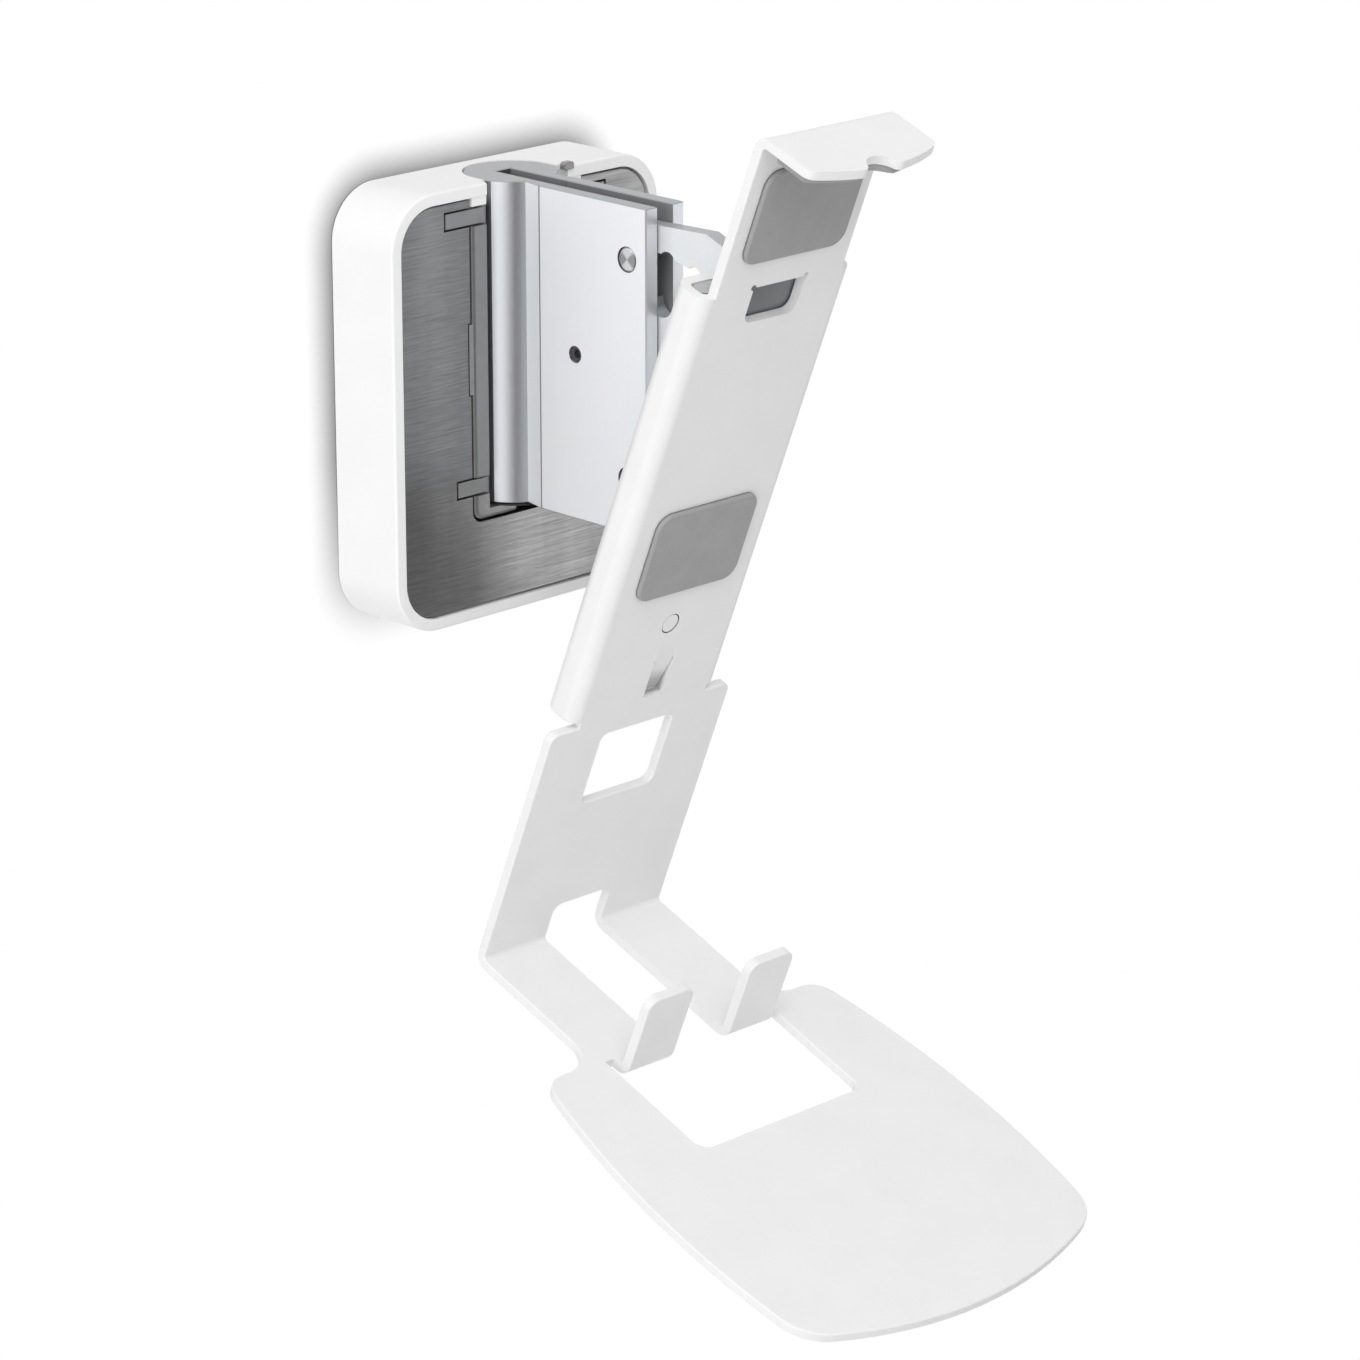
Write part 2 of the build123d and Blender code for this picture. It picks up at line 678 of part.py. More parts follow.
# Tilt carrier: flange in the channel, web in the slot of the arm, and a notched guide for the upper rivet
hub_radius = bush_radius + hub_wall
guide_room = rivet_diameter / 2 + guide_gap
guide_rise = carrier_top - pivot_height
web_rear = pivot_depth + guide_outer * sin(radians(tilt_most)) + guide_room + web_margin
web_rear_top = carrier_top - (web_rear - web_cut_start) * tan(radians(web_cut_angle))
web_rear_foot = pivot_height + guide_inner * cos(radians(tilt_most))
pivot_spot = (-pivot_depth, pivot_height)
with BuildPart() as tilt_carrier:
    with BuildSketch(level_plane.offset(-carrier_top)):
        with Locations((0, -flange_back)):
            Rectangle(
                channel_width - 2 * (sheet + carrier_gap),
                carrier_flange,
                align=(Align.CENTER, Align.MIN),
            )
    extrude(amount=carrier_top - carrier_bottom)
    fillet(tilt_carrier.edges().filter_by(Axis((0, 0, 0), tuple(up))), bend_radius)
    with BuildSketch(side_plane):
        with BuildLine():
            Polyline(
                (-flange_back, carrier_top),
                (-web_cut_start, carrier_top),
                (-web_rear, web_rear_top),
                (-web_rear, web_rear_foot),
                (-pivot_depth - hub_radius, pivot_height),
                (-pivot_depth, pivot_height - hub_radius),
                (-flange_back, pivot_height - web_foot_drop),
                close=True,
            )
        make_face()
        with Locations(pivot_spot):
            Circle(hub_radius)
            Circle(bush_radius + rivet_fit, mode=Mode.SUBTRACT)
    extrude(amount=web_thickness / 2, both=True)
    with BuildSketch(side_plane):
        with Locations(pivot_spot):
            Circle(guide_outer)
            Circle(guide_inner, mode=Mode.SUBTRACT)
        with BuildLine():
            Polyline(
                (-pivot_depth + guide_room, pivot_height),
                (-pivot_depth + guide_room, carrier_top),
                (-pivot_depth - guide_room - guide_rise * tan(radians(tilt_most)), carrier_top),
                (-pivot_depth - guide_room, pivot_height),
                close=True,
            )
        make_face(mode=Mode.INTERSECT)
        for notch in range(detent_count):
            turn = radians(tilt_rest - notch * detent_pitch)
            for reach, radius in (
                (guide_outer + detent_depth - detent_radius, detent_radius),
                (guide_inner, detent_relief),
            ):
                with Locations((-pivot_depth - reach * sin(turn), pivot_height + reach * cos(turn))):
                    Circle(radius)
    extrude(amount=web_thickness, both=True, mode=Mode.SUBTRACT)
tilt_carrier.part.label = "tilt_carrier"
export_step(tilt_carrier.part, "parts/tilt_carrier.step")

# Speaker rest, one folded sheet: tongue, upright, channel and lip
with BuildPart() as speaker_bracket:
    with BuildSketch(face_plane) as foot_outline:
        with Locations((0, bend_radius)):
            Rectangle(foot_width, foot_top - bend_radius, align=(Align.CENTER, Align.MIN))
        fillet(foot_outline.vertices().group_by(Axis.Y)[-1], foot_corner_radius)
        with Locations((0, foot_top - bend_relief)):
            Rectangle(
                channel_width - 2 * fold_radius,
                channel_bottom - foot_top + 2 * bend_relief,
                align=(Align.CENTER, Align.MIN),
            )
        with Locations((0, channel_top - sheet)):
            Rectangle(
                head_width,
                lip_under - bend_radius - channel_top + sheet,
                align=(Align.CENTER, Align.MIN),
            )
    extrude(amount=-sheet)
    with BuildSketch(level_plane.offset(-channel_top)):
        with Locations((0, -channel_depth / 2)):
            RectangleRounded(channel_width, channel_depth, fold_radius)
            RectangleRounded(
                channel_width - 2 * sheet,
                channel_depth - 2 * sheet,
                bend_radius,
                mode=Mode.SUBTRACT,
            )
        with Locations((0, -channel_depth)):
            Rectangle(arm_thickness + 2 * channel_mouth_gap, 2 * sheet, mode=Mode.SUBTRACT)
    extrude(amount=channel_top - channel_bottom)

    # Folds at the foot and at the head
    with BuildSketch(side_plane):
        with Locations((bend_radius, bend_radius)):
            Circle(fold_radius)
            Circle(bend_radius, mode=Mode.SUBTRACT)
            Rectangle(fold_radius, fold_radius, align=(Align.MAX, Align.MAX), mode=Mode.INTERSECT)
    extrude(amount=foot_width / 2, both=True)
    with BuildSketch(side_plane):
        with Locations((bend_radius, lip_under - bend_radius)):
            Circle(fold_radius)
            Circle(bend_radius, mode=Mode.SUBTRACT)
            Rectangle(fold_radius, fold_radius, align=(Align.MAX, Align.MIN), mode=Mode.INTERSECT)
    extrude(amount=head_half, both=True)

    # Lip over the speaker, with a bowed front and a notch in its middle
    with BuildSketch(level_plane.offset(-upright_height)) as lip_outline:
        with BuildLine():
            Polyline(
                (head_half, lip_side_reach),
                (head_half, bend_radius),
                (-head_half, bend_radius),
                (-head_half, lip_side_reach),
            )
            ThreePointArc((-head_half, lip_side_reach), (0, lip_nose_reach), (head_half, lip_side_reach))
        make_face()
        fillet(lip_outline.vertices().group_by(Axis.Y)[-1], lip_corner_radius)
        with Locations((0, lip_notch_floor + lip_notch_radius)):
            Circle(lip_notch_radius, mode=Mode.SUBTRACT)
        notch_corners = lip_outline.vertices().sort_by(lambda corner: abs(corner.X))[:2]
        fillet(notch_corners, lip_notch_fillet)
    extrude(amount=sheet)

    # Tongue, its legs and its broad rounded front
    with BuildSketch(level_plane) as tongue_outline:
        with BuildLine():
            Polyline(
                (-rear_half, tongue_rear),
                (-foot_width / 2, tongue_rear),
                (-foot_width / 2, bend_radius),
                (foot_width / 2, bend_radius),
                (foot_width / 2, tongue_rear),
                (rear_half, tongue_rear),
            )
            ThreePointArc((rear_half, tongue_rear), (side_half, tongue_widest), (nose_half, nose_corner))
            ThreePointArc((nose_half, nose_corner), (0, tongue_length), (-nose_half, nose_corner))
            ThreePointArc((-nose_half, nose_corner), (-side_half, tongue_widest), (-rear_half, tongue_rear))
        make_face()
        fillet(tongue_outline.vertices().group_by(Axis.Y)[-1], tongue_nose_fillet)
        fillet(corners_at(tongue_outline, foot_width / 2, tongue_rear), tongue_inner_fillet)
        fillet(corners_at(tongue_outline, rear_half, tongue_rear), tongue_rear_fillet)
    extrude(amount=sheet)

    # Window of the tongue, the reliefs beside its two tabs, and the cable slot through the fold
    with BuildSketch(level_plane) as tongue_window:
        with Locations((0, tab_fold)):
            Rectangle(window_width, window_front - tab_fold, align=(Align.CENTER, Align.MIN))
        fillet(tongue_window.vertices().group_by(Axis.Y)[-1], window_corner)
        with Locations((0, tab_fold)):
            with GridLocations(2 * tab_outer + tab_relief_width, 0, 2, 1):
                Rectangle(tab_relief_width, 2 * tab_relief_depth)
    extrude(amount=sheet, mode=Mode.SUBTRACT)
    with BuildSketch(face_plane.offset(-sheet)) as cable_slot:
        with Locations((0, cable_slot_top)):
            Rectangle(cable_slot_width, cable_slot_top + fold_radius, align=(Align.CENTER, Align.MAX))
        fillet(cable_slot.vertices().group_by(Axis.Y)[-1], cable_slot_corner)
    extrude(amount=tab_front, mode=Mode.SUBTRACT)

    # Tabs bent up at the rear of the window
    for side in (-1, 1):
        with BuildSketch(face_plane.offset(tab_front)) as tab_outline:
            with Locations((side * tab_middle, bend_radius)):
                Rectangle(tab_width, tab_height - bend_radius, align=(Align.CENTER, Align.MIN))
            fillet(tab_outline.vertices().group_by(Axis.Y)[-1], tab_corner)
        extrude(amount=-sheet)
        with BuildSketch(side_plane.offset(-side * tab_middle)):
            with Locations((tab_fold, bend_radius)):
                Circle(fold_radius)
                Circle(bend_radius, mode=Mode.SUBTRACT)
                Rectangle(fold_radius, fold_radius, align=(Align.MIN, Align.MAX), mode=Mode.INTERSECT)
        extrude(amount=tab_width / 2, both=True)

    # Openings of the upright, and the stop tab bent back above the upper one
    with BuildSketch(face_plane) as low_window:
        with Locations((0, low_window_top)):
            Rectangle(low_window_width, low_window_height, align=(Align.CENTER, Align.MAX))
        fillet(low_window.vertices(), low_window_corner)
    extrude(amount=-sheet, mode=Mode.SUBTRACT)
    with BuildSketch(face_plane) as high_window:
        with Locations((0, high_window_top)):
            Rectangle(high_window_width, high_window_height, align=(Align.CENTER, Align.MAX))
        fillet(high_window.vertices().group_by(Axis.Y)[0], high_window_corner)
        with Locations((0, high_window_top)):
            with GridLocations(high_window_width, 0, 2, 1):
                Circle(high_window_relief)
        with Locations((0, stop_height)):
            Circle(stop_rivet_diameter / 2 + stop_rivet_gap)
    extrude(amount=-sheet, mode=Mode.SUBTRACT)
    with BuildSketch(face_plane.offset(-sheet)):
        with Locations((0, high_window_top)):
            Rectangle(stop_tab_width, sheet, align=(Align.CENTER, Align.MIN))
    extrude(amount=-stop_tab_depth)

    # Spring finger below the carrier, cut free on three sides and set back
    finger_foot = channel_bottom + finger_rise
    finger_top = finger_foot + finger_length
    with BuildSketch(face_plane):
        with Locations((finger_middle, finger_top)):
            Rectangle(
                finger_width + 2 * finger_slit,
                finger_length + finger_slit,
                align=(Align.CENTER, Align.MAX),
            )
    extrude(amount=-sheet, mode=Mode.SUBTRACT)
    with BuildSketch(side_plane.offset(-finger_middle)):
        with BuildLine():
            Polyline(
                (0, finger_top),
                (-sheet, finger_top),
                (-sheet - finger_set, finger_foot),
                (-finger_set, finger_foot),
                close=True,
            )
        make_face()
    extrude(amount=finger_width / 2, both=True)

    # Edges of the tongue, lip, tabs, lower window and foot of the channel, rounded before coating
    level_edges = speaker_bracket.edges().filter_by(level_plane)
    upright_edges = speaker_bracket.edges().filter_by(face_plane)
    tongue_edges = level_edges.filter_by_position(out_axis, tab_front, tongue_length)
    lip_edges = level_edges.filter_by_position(up_axis, lip_under, upright_height)
    tab_edges = upright_edges.filter_by_position(out_axis, tab_front - sheet, tab_front)
    low_window_edges = upright_edges.filter_by_position(up_axis, low_window_foot, low_window_top)
    channel_edges = level_edges.filter_by_position(
        up_axis, channel_bottom - picking_slack, channel_bottom + picking_slack
    )
    fillet(
        tongue_edges
        + lip_edges.filter_by_position(out_axis, fold_radius, lip_nose_reach)
        + tab_edges
        + low_window_edges.filter_by_position(out_axis, -sheet, 0)
        + channel_edges,
        sheet_edge_radius,
    )
speaker_bracket.part.label = "speaker_bracket"
export_step(speaker_bracket.part, "parts/speaker_bracket.step")

# Stop rivet in the sheet, under the end of the carrier
with BuildPart() as stop_rivet:
    with BuildSketch(face_plane.offset(-stop_rivet_recess)):
        with Locations((0, stop_height)):
            Circle(stop_rivet_diameter / 2)
    extrude(amount=stop_rivet_recess - sheet)
    with BuildSketch(face_plane.offset(-sheet)):
        with Locations((0, stop_height)):
            Circle(stop_rivet_body / 2)
    extrude(amount=-carrier_flange)
stop_rivet.part.label = "stop_rivet"
export_step(stop_rivet.part, "parts/stop_rivet.step")


def pad_at(bottom):
    """A soft pad stuck on the front of the upright."""
    with BuildPart() as pad:
        with BuildSketch(face_plane):
            with Locations((0, bottom + pad_height / 2)):
                RectangleRounded(head_width - 2 * pad_margin, pad_height, pad_corner)
        extrude(amount=pad_thickness)
        pad_front = pad.faces().sort_by(Axis(tuple(rest_origin), tuple(out)))[-1]
        fillet(pad_front.edges(), pad_edge_radius)
    return pad


upper_pad = pad_at(lip_under - upper_pad_drop - pad_height)
upper_pad.part.label = "upper_pad"
export_step(upper_pad.part, "parts/upper_pad.step")

lower_pad = pad_at(stop_height + lower_pad_rise)
lower_pad.part.label = "lower_pad"
export_step(lower_pad.part, "parts/lower_pad.step")

# Pad under the lip, with the same notch
pad_half = head_half - lip_pad_margin
pad_side_reach = lip_side_reach - lip_pad_margin
with BuildPart() as lip_pad:
    with BuildSketch(level_plane.offset(-lip_under)) as lip_pad_outline:
        with BuildLine():
            Polyline(
                (pad_half, pad_side_reach),
                (pad_half, fold_radius),
                (-pad_half, fold_radius),
                (-pad_half, pad_side_reach),
            )
            ThreePointArc(
                (-pad_half, pad_side_reach),
                (0, lip_nose_reach - lip_pad_margin),
                (pad_half, pad_side_reach),
            )
        make_face()
        fillet(lip_pad_outline.vertices().group_by(Axis.Y)[-1], lip_corner_radius)
        with Locations((0, lip_notch_floor + lip_notch_radius)):
            Circle(lip_notch_radius + lip_pad_margin, mode=Mode.SUBTRACT)
    extrude(amount=lip_pad_thickness)
lip_pad.part.label = "lip_pad"
export_step(lip_pad.part, "parts/lip_pad.step")
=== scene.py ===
import json
import math

import bmesh
import bpy
from mathutils import Matrix, Vector


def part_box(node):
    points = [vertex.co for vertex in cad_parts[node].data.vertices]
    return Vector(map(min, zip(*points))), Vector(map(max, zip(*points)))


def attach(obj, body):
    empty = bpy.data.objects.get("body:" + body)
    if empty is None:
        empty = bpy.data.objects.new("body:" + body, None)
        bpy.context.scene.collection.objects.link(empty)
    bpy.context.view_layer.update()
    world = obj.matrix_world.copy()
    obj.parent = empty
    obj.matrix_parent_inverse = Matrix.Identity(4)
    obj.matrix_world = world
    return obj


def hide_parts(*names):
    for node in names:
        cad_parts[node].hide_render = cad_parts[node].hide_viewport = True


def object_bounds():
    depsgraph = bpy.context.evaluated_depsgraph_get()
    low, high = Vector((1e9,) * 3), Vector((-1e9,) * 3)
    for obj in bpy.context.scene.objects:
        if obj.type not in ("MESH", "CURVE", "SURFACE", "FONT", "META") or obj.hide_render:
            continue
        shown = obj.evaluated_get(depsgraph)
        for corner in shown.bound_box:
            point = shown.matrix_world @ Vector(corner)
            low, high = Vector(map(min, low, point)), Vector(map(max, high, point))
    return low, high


# A speaker wall bracket on a white wall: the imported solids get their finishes, and the three grey
# pads are made here. Metres, in the frame of the solids.
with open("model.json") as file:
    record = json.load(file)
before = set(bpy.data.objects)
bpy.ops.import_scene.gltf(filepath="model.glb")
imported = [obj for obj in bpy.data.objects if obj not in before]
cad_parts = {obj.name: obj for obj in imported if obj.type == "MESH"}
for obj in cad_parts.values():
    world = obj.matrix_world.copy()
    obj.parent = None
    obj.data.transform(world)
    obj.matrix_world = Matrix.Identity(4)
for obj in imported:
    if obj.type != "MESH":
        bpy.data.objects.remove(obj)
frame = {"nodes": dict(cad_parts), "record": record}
cad_low, cad_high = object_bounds()
nodes = frame["nodes"]
mounts = {mount["name"]: mount for mount in frame["record"]["mounts"]}

MM = 0.001

# Axes of the speaker rest: across, up the sheet and out from its front
tongue_mount = mounts["speaker_tongue"]
rest_up = Vector(tongue_mount["axis"]).normalized()
rest_out = Vector((0, -rest_up.z, rest_up.y))
rest_axes = Matrix((Vector((1, 0, 0)), rest_up, rest_out))
rest_to_frame = rest_axes.transposed().to_4x4()

# Slot of the arm, which the web of the carrier and a friction washer on each side fill, the
# upright grooves where the neck of the arm ends, and how far in front of the wall its barrel bears
# Shade is painted on the arm in its slot, in the neck grooves and on this part of the barrel.
slot_clearance = 0.2 * MM
washers_low, washers_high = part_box("friction_washers")
arm_slot_half = (washers_high.x - washers_low.x) / 2 + slot_clearance
neck_groove_place = -38.35 * MM
neck_groove_half = 0.3 * MM
bearing_depth = 23.8 * MM

# Camera of the photograph
image_size = 1360
camera_place = Vector((-0.9991, -1.0895, 0.3861))
camera_azimuth = math.radians(44.93)
camera_pitch = math.radians(18.03)
focal_pixels = 5145.2
sensor_width = 36.0
view_depth = 50.0


def place_camera():
    data = bpy.data.cameras.new("camera")
    data.sensor_width = sensor_width
    data.lens = focal_pixels / image_size * sensor_width
    data.clip_end = view_depth
    camera = bpy.data.objects.new("camera", data)
    bpy.context.scene.collection.objects.link(camera)
    looking = Vector(
        (
            math.sin(camera_azimuth) * math.cos(camera_pitch),
            math.cos(camera_azimuth) * math.cos(camera_pitch),
            -math.sin(camera_pitch),
        )
    )
    camera.location = camera_place
    camera.rotation_euler = looking.to_track_quat("-Z", "Y").to_euler()
    bpy.context.scene.camera = camera


place_camera()


def rest_box(node):
    """Lowest and highest corner of a node along the axes of the rest."""
    points = [rest_axes @ vertex.co for vertex in nodes[node].data.vertices]
    low = Vector([min(point[axis] for point in points) for axis in range(3)])
    high = Vector([max(point[axis] for point in points) for axis in range(3)])
    return low, high


# Small recesses in the front of the rest: the gap round the stop rivet and the cut round the finger,
# which is set back at its lower end. What lies within a thin skin still counts as the front.
# Shade is painted into the sheet's colour in both recesses.
rest_front = rest_box("upper_pad")[0].z
front_skin = 0.027 * MM
rivet_low, rivet_high = rest_box("stop_rivet")
stop_place = (rivet_low + rivet_high) / 2
stop_hole_radius = 3.35 * MM
stop_wall_half = 0.15 * MM
finger_middle = 2.3 * MM
finger_below_stop = 19.6 * MM
finger_half_width = 4.2 * MM
finger_half_length = 6.9 * MM
finger_set = 2.7 * MM


# Helpers for node materials

# Most values of a noise texture lie between these two
noise_low = 0.3
noise_high = 0.7


class Finish:
    """A material with one Principled shader and short calls for the textures that feed it."""

    def __init__(self, name, roughness=0.5, metallic=0.0, **sockets):
        self.material = bpy.data.materials.new(name)
        self.material.use_nodes = True
        self.tree = self.material.node_tree
        self.shader = self.tree.nodes["Principled BSDF"]
        self.shader.inputs["Roughness"].default_value = roughness
        self.shader.inputs["Metallic"].default_value = metallic
        for socket, value in sockets.items():
            self.shader.inputs[socket.replace("_", " ")].default_value = value

    def link(self, source, target):
        self.tree.links.new(source, target)

    def coordinates(self, scale=(1, 1, 1), centre=(0, 0, 0)):
        """Object coordinates, moved to a centre and then stretched."""
        place = self.tree.nodes.new("ShaderNodeTexCoord")
        mapping = self.tree.nodes.new("ShaderNodeMapping")
        mapping.inputs["Scale"].default_value = scale
        mapping.inputs["Location"].default_value = [-c * s for c, s in zip(centre, scale)]
        self.link(place.outputs["Object"], mapping.inputs["Vector"])
        return mapping.outputs["Vector"]

    def noise(self, coordinates, scale=1.0, detail=3.0, roughness=0.5):
        texture = self.tree.nodes.new("ShaderNodeTexNoise")
        texture.inputs["Scale"].default_value = scale
        texture.inputs["Detail"].default_value = detail
        texture.inputs["Roughness"].default_value = roughness
        self.link(coordinates, texture.inputs["Vector"])
        return texture.outputs["Fac"]

    def rings(self, coordinates, scale, waver=0.4):
        """Turned rings round the x axis."""
        texture = self.tree.nodes.new("ShaderNodeTexWave")
        texture.wave_type = "RINGS"
        texture.rings_direction = "X"
        texture.inputs["Scale"].default_value = scale
        texture.inputs["Distortion"].default_value = waver
        self.link(coordinates, texture.inputs["Vector"])
        return texture.outputs["Fac"]

    def math(self, operation, first, second=None):
        """A sum on one texture value, alone or with a number or another value."""
        node = self.tree.nodes.new("ShaderNodeMath")
        node.operation = operation
        self.link(first, node.inputs[0])
        if isinstance(second, (int, float)):
            node.inputs[1].default_value = second
        elif second is not None:
            self.link(second, node.inputs[1])
        return node.outputs["Value"]

    def parts_of(self, vector):
        """The x, y and z of a vector."""
        split = self.tree.nodes.new("ShaderNodeSeparateXYZ")
        self.link(vector, split.inputs["Vector"])
        return split.outputs["X"], split.outputs["Y"], split.outputs["Z"]

    def share_along(self, vector, direction):
        """The part of a vector that lies along a direction of the piece."""
        product = self.tree.nodes.new("ShaderNodeVectorMath")
        product.operation = "DOT_PRODUCT"
        product.inputs[1].default_value = direction
        self.link(vector, product.inputs[0])
        return product.outputs["Value"]

    def facing(self, direction):
        """1 on faces that look along a direction of the piece, and 0 across it."""
        place = self.tree.nodes.new("ShaderNodeTexCoord")
        return self.share_along(place.outputs["Normal"], direction)

    def along(self, direction):
        """How far a point of the piece lies along a direction."""
        return self.share_along(self.coordinates(), direction)

    def length(self, first, second):
        """How far away a point is, from its distances along two axes that are square to each other."""
        squares = [self.math("MULTIPLY", value, value) for value in (first, second)]
        return self.math("SQRT", self.math("ADD", *squares))

    def within(self, value, middle, half):
        """1 where a value lies within a distance of a middle, and 0 outside."""
        offset = self.math("ABSOLUTE", self.math("SUBTRACT", value, middle))
        return self.math("LESS_THAN", offset, half)

    def painted_highlight_wedges(self, centre):
        """Painted highlight: two light and two dark wedges round an x axis through a centre, as light
        falls on a faced end.
        """
        _, along, upward = self.parts_of(self.coordinates(centre=centre))
        turn = self.math("MULTIPLY", self.math("ARCTAN2", upward, along), 2.0)
        return self.math("MULTIPLY", self.math("SUBTRACT", self.math("COSINE", turn), 1.0), -0.5)

    def blend(self, factor, first, second):
        """One of two greys or colours, by a texture."""
        ramp = self.tree.nodes.new("ShaderNodeValToRGB")
        ends = ((noise_low, first), (noise_high, second))
        for element, (position, colour) in zip(ramp.color_ramp.elements, ends):
            element.position = position
            element.color = (*colour, 1.0)
        self.link(factor, ramp.inputs["Fac"])
        return ramp.outputs["Color"]

    def spread(self, factor, low, high):
        """A texture's middle range spread between two values."""
        remap = self.tree.nodes.new("ShaderNodeMapRange")
        remap.inputs["From Min"].default_value = noise_low
        remap.inputs["From Max"].default_value = noise_high
        remap.inputs["To Min"].default_value = low
        remap.inputs["To Max"].default_value = high
        self.link(factor, remap.inputs["Value"])
        return remap.outputs["Result"]

    def multiply(self, first, second):
        mix = self.tree.nodes.new("ShaderNodeMix")
        mix.data_type = "RGBA"
        mix.blend_type = "MULTIPLY"
        mix.inputs["Factor"].default_value = 1.0
        self.link(first, mix.inputs["A"])
        self.link(second, mix.inputs["B"])
        return mix.outputs["Result"]

    def colour(self, source):
        self.link(source, self.shader.inputs["Base Color"])

    def gloss(self, source):
        self.link(source, self.shader.inputs["Roughness"])

    def metal(self, source):
        self.link(source, self.shader.inputs["Metallic"])

    def from_front_only(self):
        """Lets the backs of the faces be seen through."""
        geometry = self.tree.nodes.new("ShaderNodeNewGeometry")
        clear = self.tree.nodes.new("ShaderNodeBsdfTransparent")
        mix = self.tree.nodes.new("ShaderNodeMixShader")
        self.link(geometry.outputs["Backfacing"], mix.inputs["Fac"])
        self.link(self.shader.outputs["BSDF"], mix.inputs[1])
        self.link(clear.outputs["BSDF"], mix.inputs[2])
        self.link(mix.outputs["Shader"], self.tree.nodes["Material Output"].inputs["Surface"])

    def relief(self, height, depth, strength):
        bump = self.tree.nodes.new("ShaderNodeBump")
        bump.inputs["Strength"].default_value = strength
        bump.inputs["Distance"].default_value = depth
        self.link(height, bump.inputs["Height"])
        self.link(bump.outputs["Normal"], self.shader.inputs["Normal"])


def grey(level, warmth=0.0):
    return (level * (1 + warmth), level, level * (1 - warmth))


# Finishes of the bracket

def painted_recess_shade(finish):
    """Painted shade of the sheet: darker with depth round the finger, and a painted shadow in the gap
    round the stop rivet.
    """
    across, upward, outward = [finish.along(axis) for axis in rest_axes]
    depth = finish.math("MULTIPLY", finish.math("SUBTRACT", outward, rest_front), -1 / finger_set)
    finger = finish.math(
        "MULTIPLY",
        finish.within(across, finger_middle, finger_half_width),
        finish.within(upward, stop_place.y - finger_below_stop, finger_half_length),
    )
    # Painted shade in the cut round the finger, darker the deeper it lies
    painted_cut_shade = finish.blend(finish.math("MULTIPLY", depth, finger), grey(1.0), grey(0.6))
    aside = finish.math("SUBTRACT", across, stop_place.x)
    above = finish.math("SUBTRACT", upward, stop_place.y)
    gap = finish.within(finish.length(aside, above), stop_hole_radius, stop_wall_half)
    behind_front = finish.math("GREATER_THAN", depth, front_skin / finger_set)
    # Painted shadow in the gap round the stop rivet
    painted_ring_shadow = finish.blend(finish.math("MULTIPLY", behind_front, gap), grey(1.0), grey(0.25))
    return finish.multiply(painted_cut_shade, painted_ring_shadow)


def powder_coat():
    """White powder coat of the folded sheet, with a fine orange peel, and painted shade in its small
    recesses.
    """
    finish = Finish("white_powder_coat", roughness=0.42, Specular_IOR_Level=0.4)
    cloud = finish.noise(finish.coordinates(), scale=60, detail=2)
    peel = finish.noise(finish.coordinates(), scale=900, detail=2)
    white = finish.blend(cloud, grey(0.845), grey(0.865))
    finish.colour(finish.multiply(white, painted_recess_shade(finish)))
    finish.gloss(finish.spread(peel, 0.38, 0.48))
    finish.relief(peel, depth=0.12 * MM, strength=0.12)
    return finish.material


def white_moulding():
    """White moulded cover, with the grain of its mould."""
    finish = Finish("white_moulding", roughness=0.4, Specular_IOR_Level=0.45)
    grain = finish.noise(finish.coordinates(), scale=2600, detail=2)
    cloud = finish.noise(finish.coordinates(), scale=40, detail=2)
    finish.colour(finish.blend(cloud, grey(0.88), grey(0.9)))
    finish.gloss(finish.spread(grain, 0.34, 0.46))
    finish.relief(grain, depth=0.04 * MM, strength=0.15)
    return finish.material


def brushed_steel():
    """Stainless face plate, brushed from side to side, with soft patches of painted reflection across the
    brushing.
    """
    finish = Finish("brushed_steel", roughness=0.34, metallic=1.0, Anisotropic=0.5)
    streak = finish.noise(finish.coordinates(scale=(75, 40, 1700)), detail=5, roughness=0.65)
    hair = finish.noise(finish.coordinates(scale=(40, 60, 5200)), detail=3)
    sheen = finish.noise(finish.coordinates(scale=(70, 10, 7)), detail=2)
    lines = finish.blend(streak, grey(0.29), grey(0.45))
    # Painted reflection: soft light patches across the brushing, as a lamp shows in a brushed plate
    painted_sheen_patches = finish.blend(sheen, grey(0.74), grey(1.0))
    finish.colour(finish.multiply(lines, painted_sheen_patches))
    finish.gloss(finish.spread(hair, 0.28, 0.42))
    finish.relief(hair, depth=0.02 * MM, strength=0.2)
    return finish.material


def satin_aluminium(name, level):
    """Anodised aluminium with a fine blasted grain and faint lines along the extrusion."""
    cool = -0.022
    line_level = 0.985
    finish = Finish(name, roughness=0.42, metallic=0.3)
    grain = finish.noise(finish.coordinates(), scale=3800, detail=2)
    lines = finish.noise(finish.coordinates(scale=(1400, 1400, 6)), detail=3)
    finish.gloss(finish.spread(grain, 0.36, 0.48))
    finish.relief(grain, depth=0.03 * MM, strength=0.4)
    return finish, finish.blend(lines, grey(level * line_level, cool), grey(level, cool))


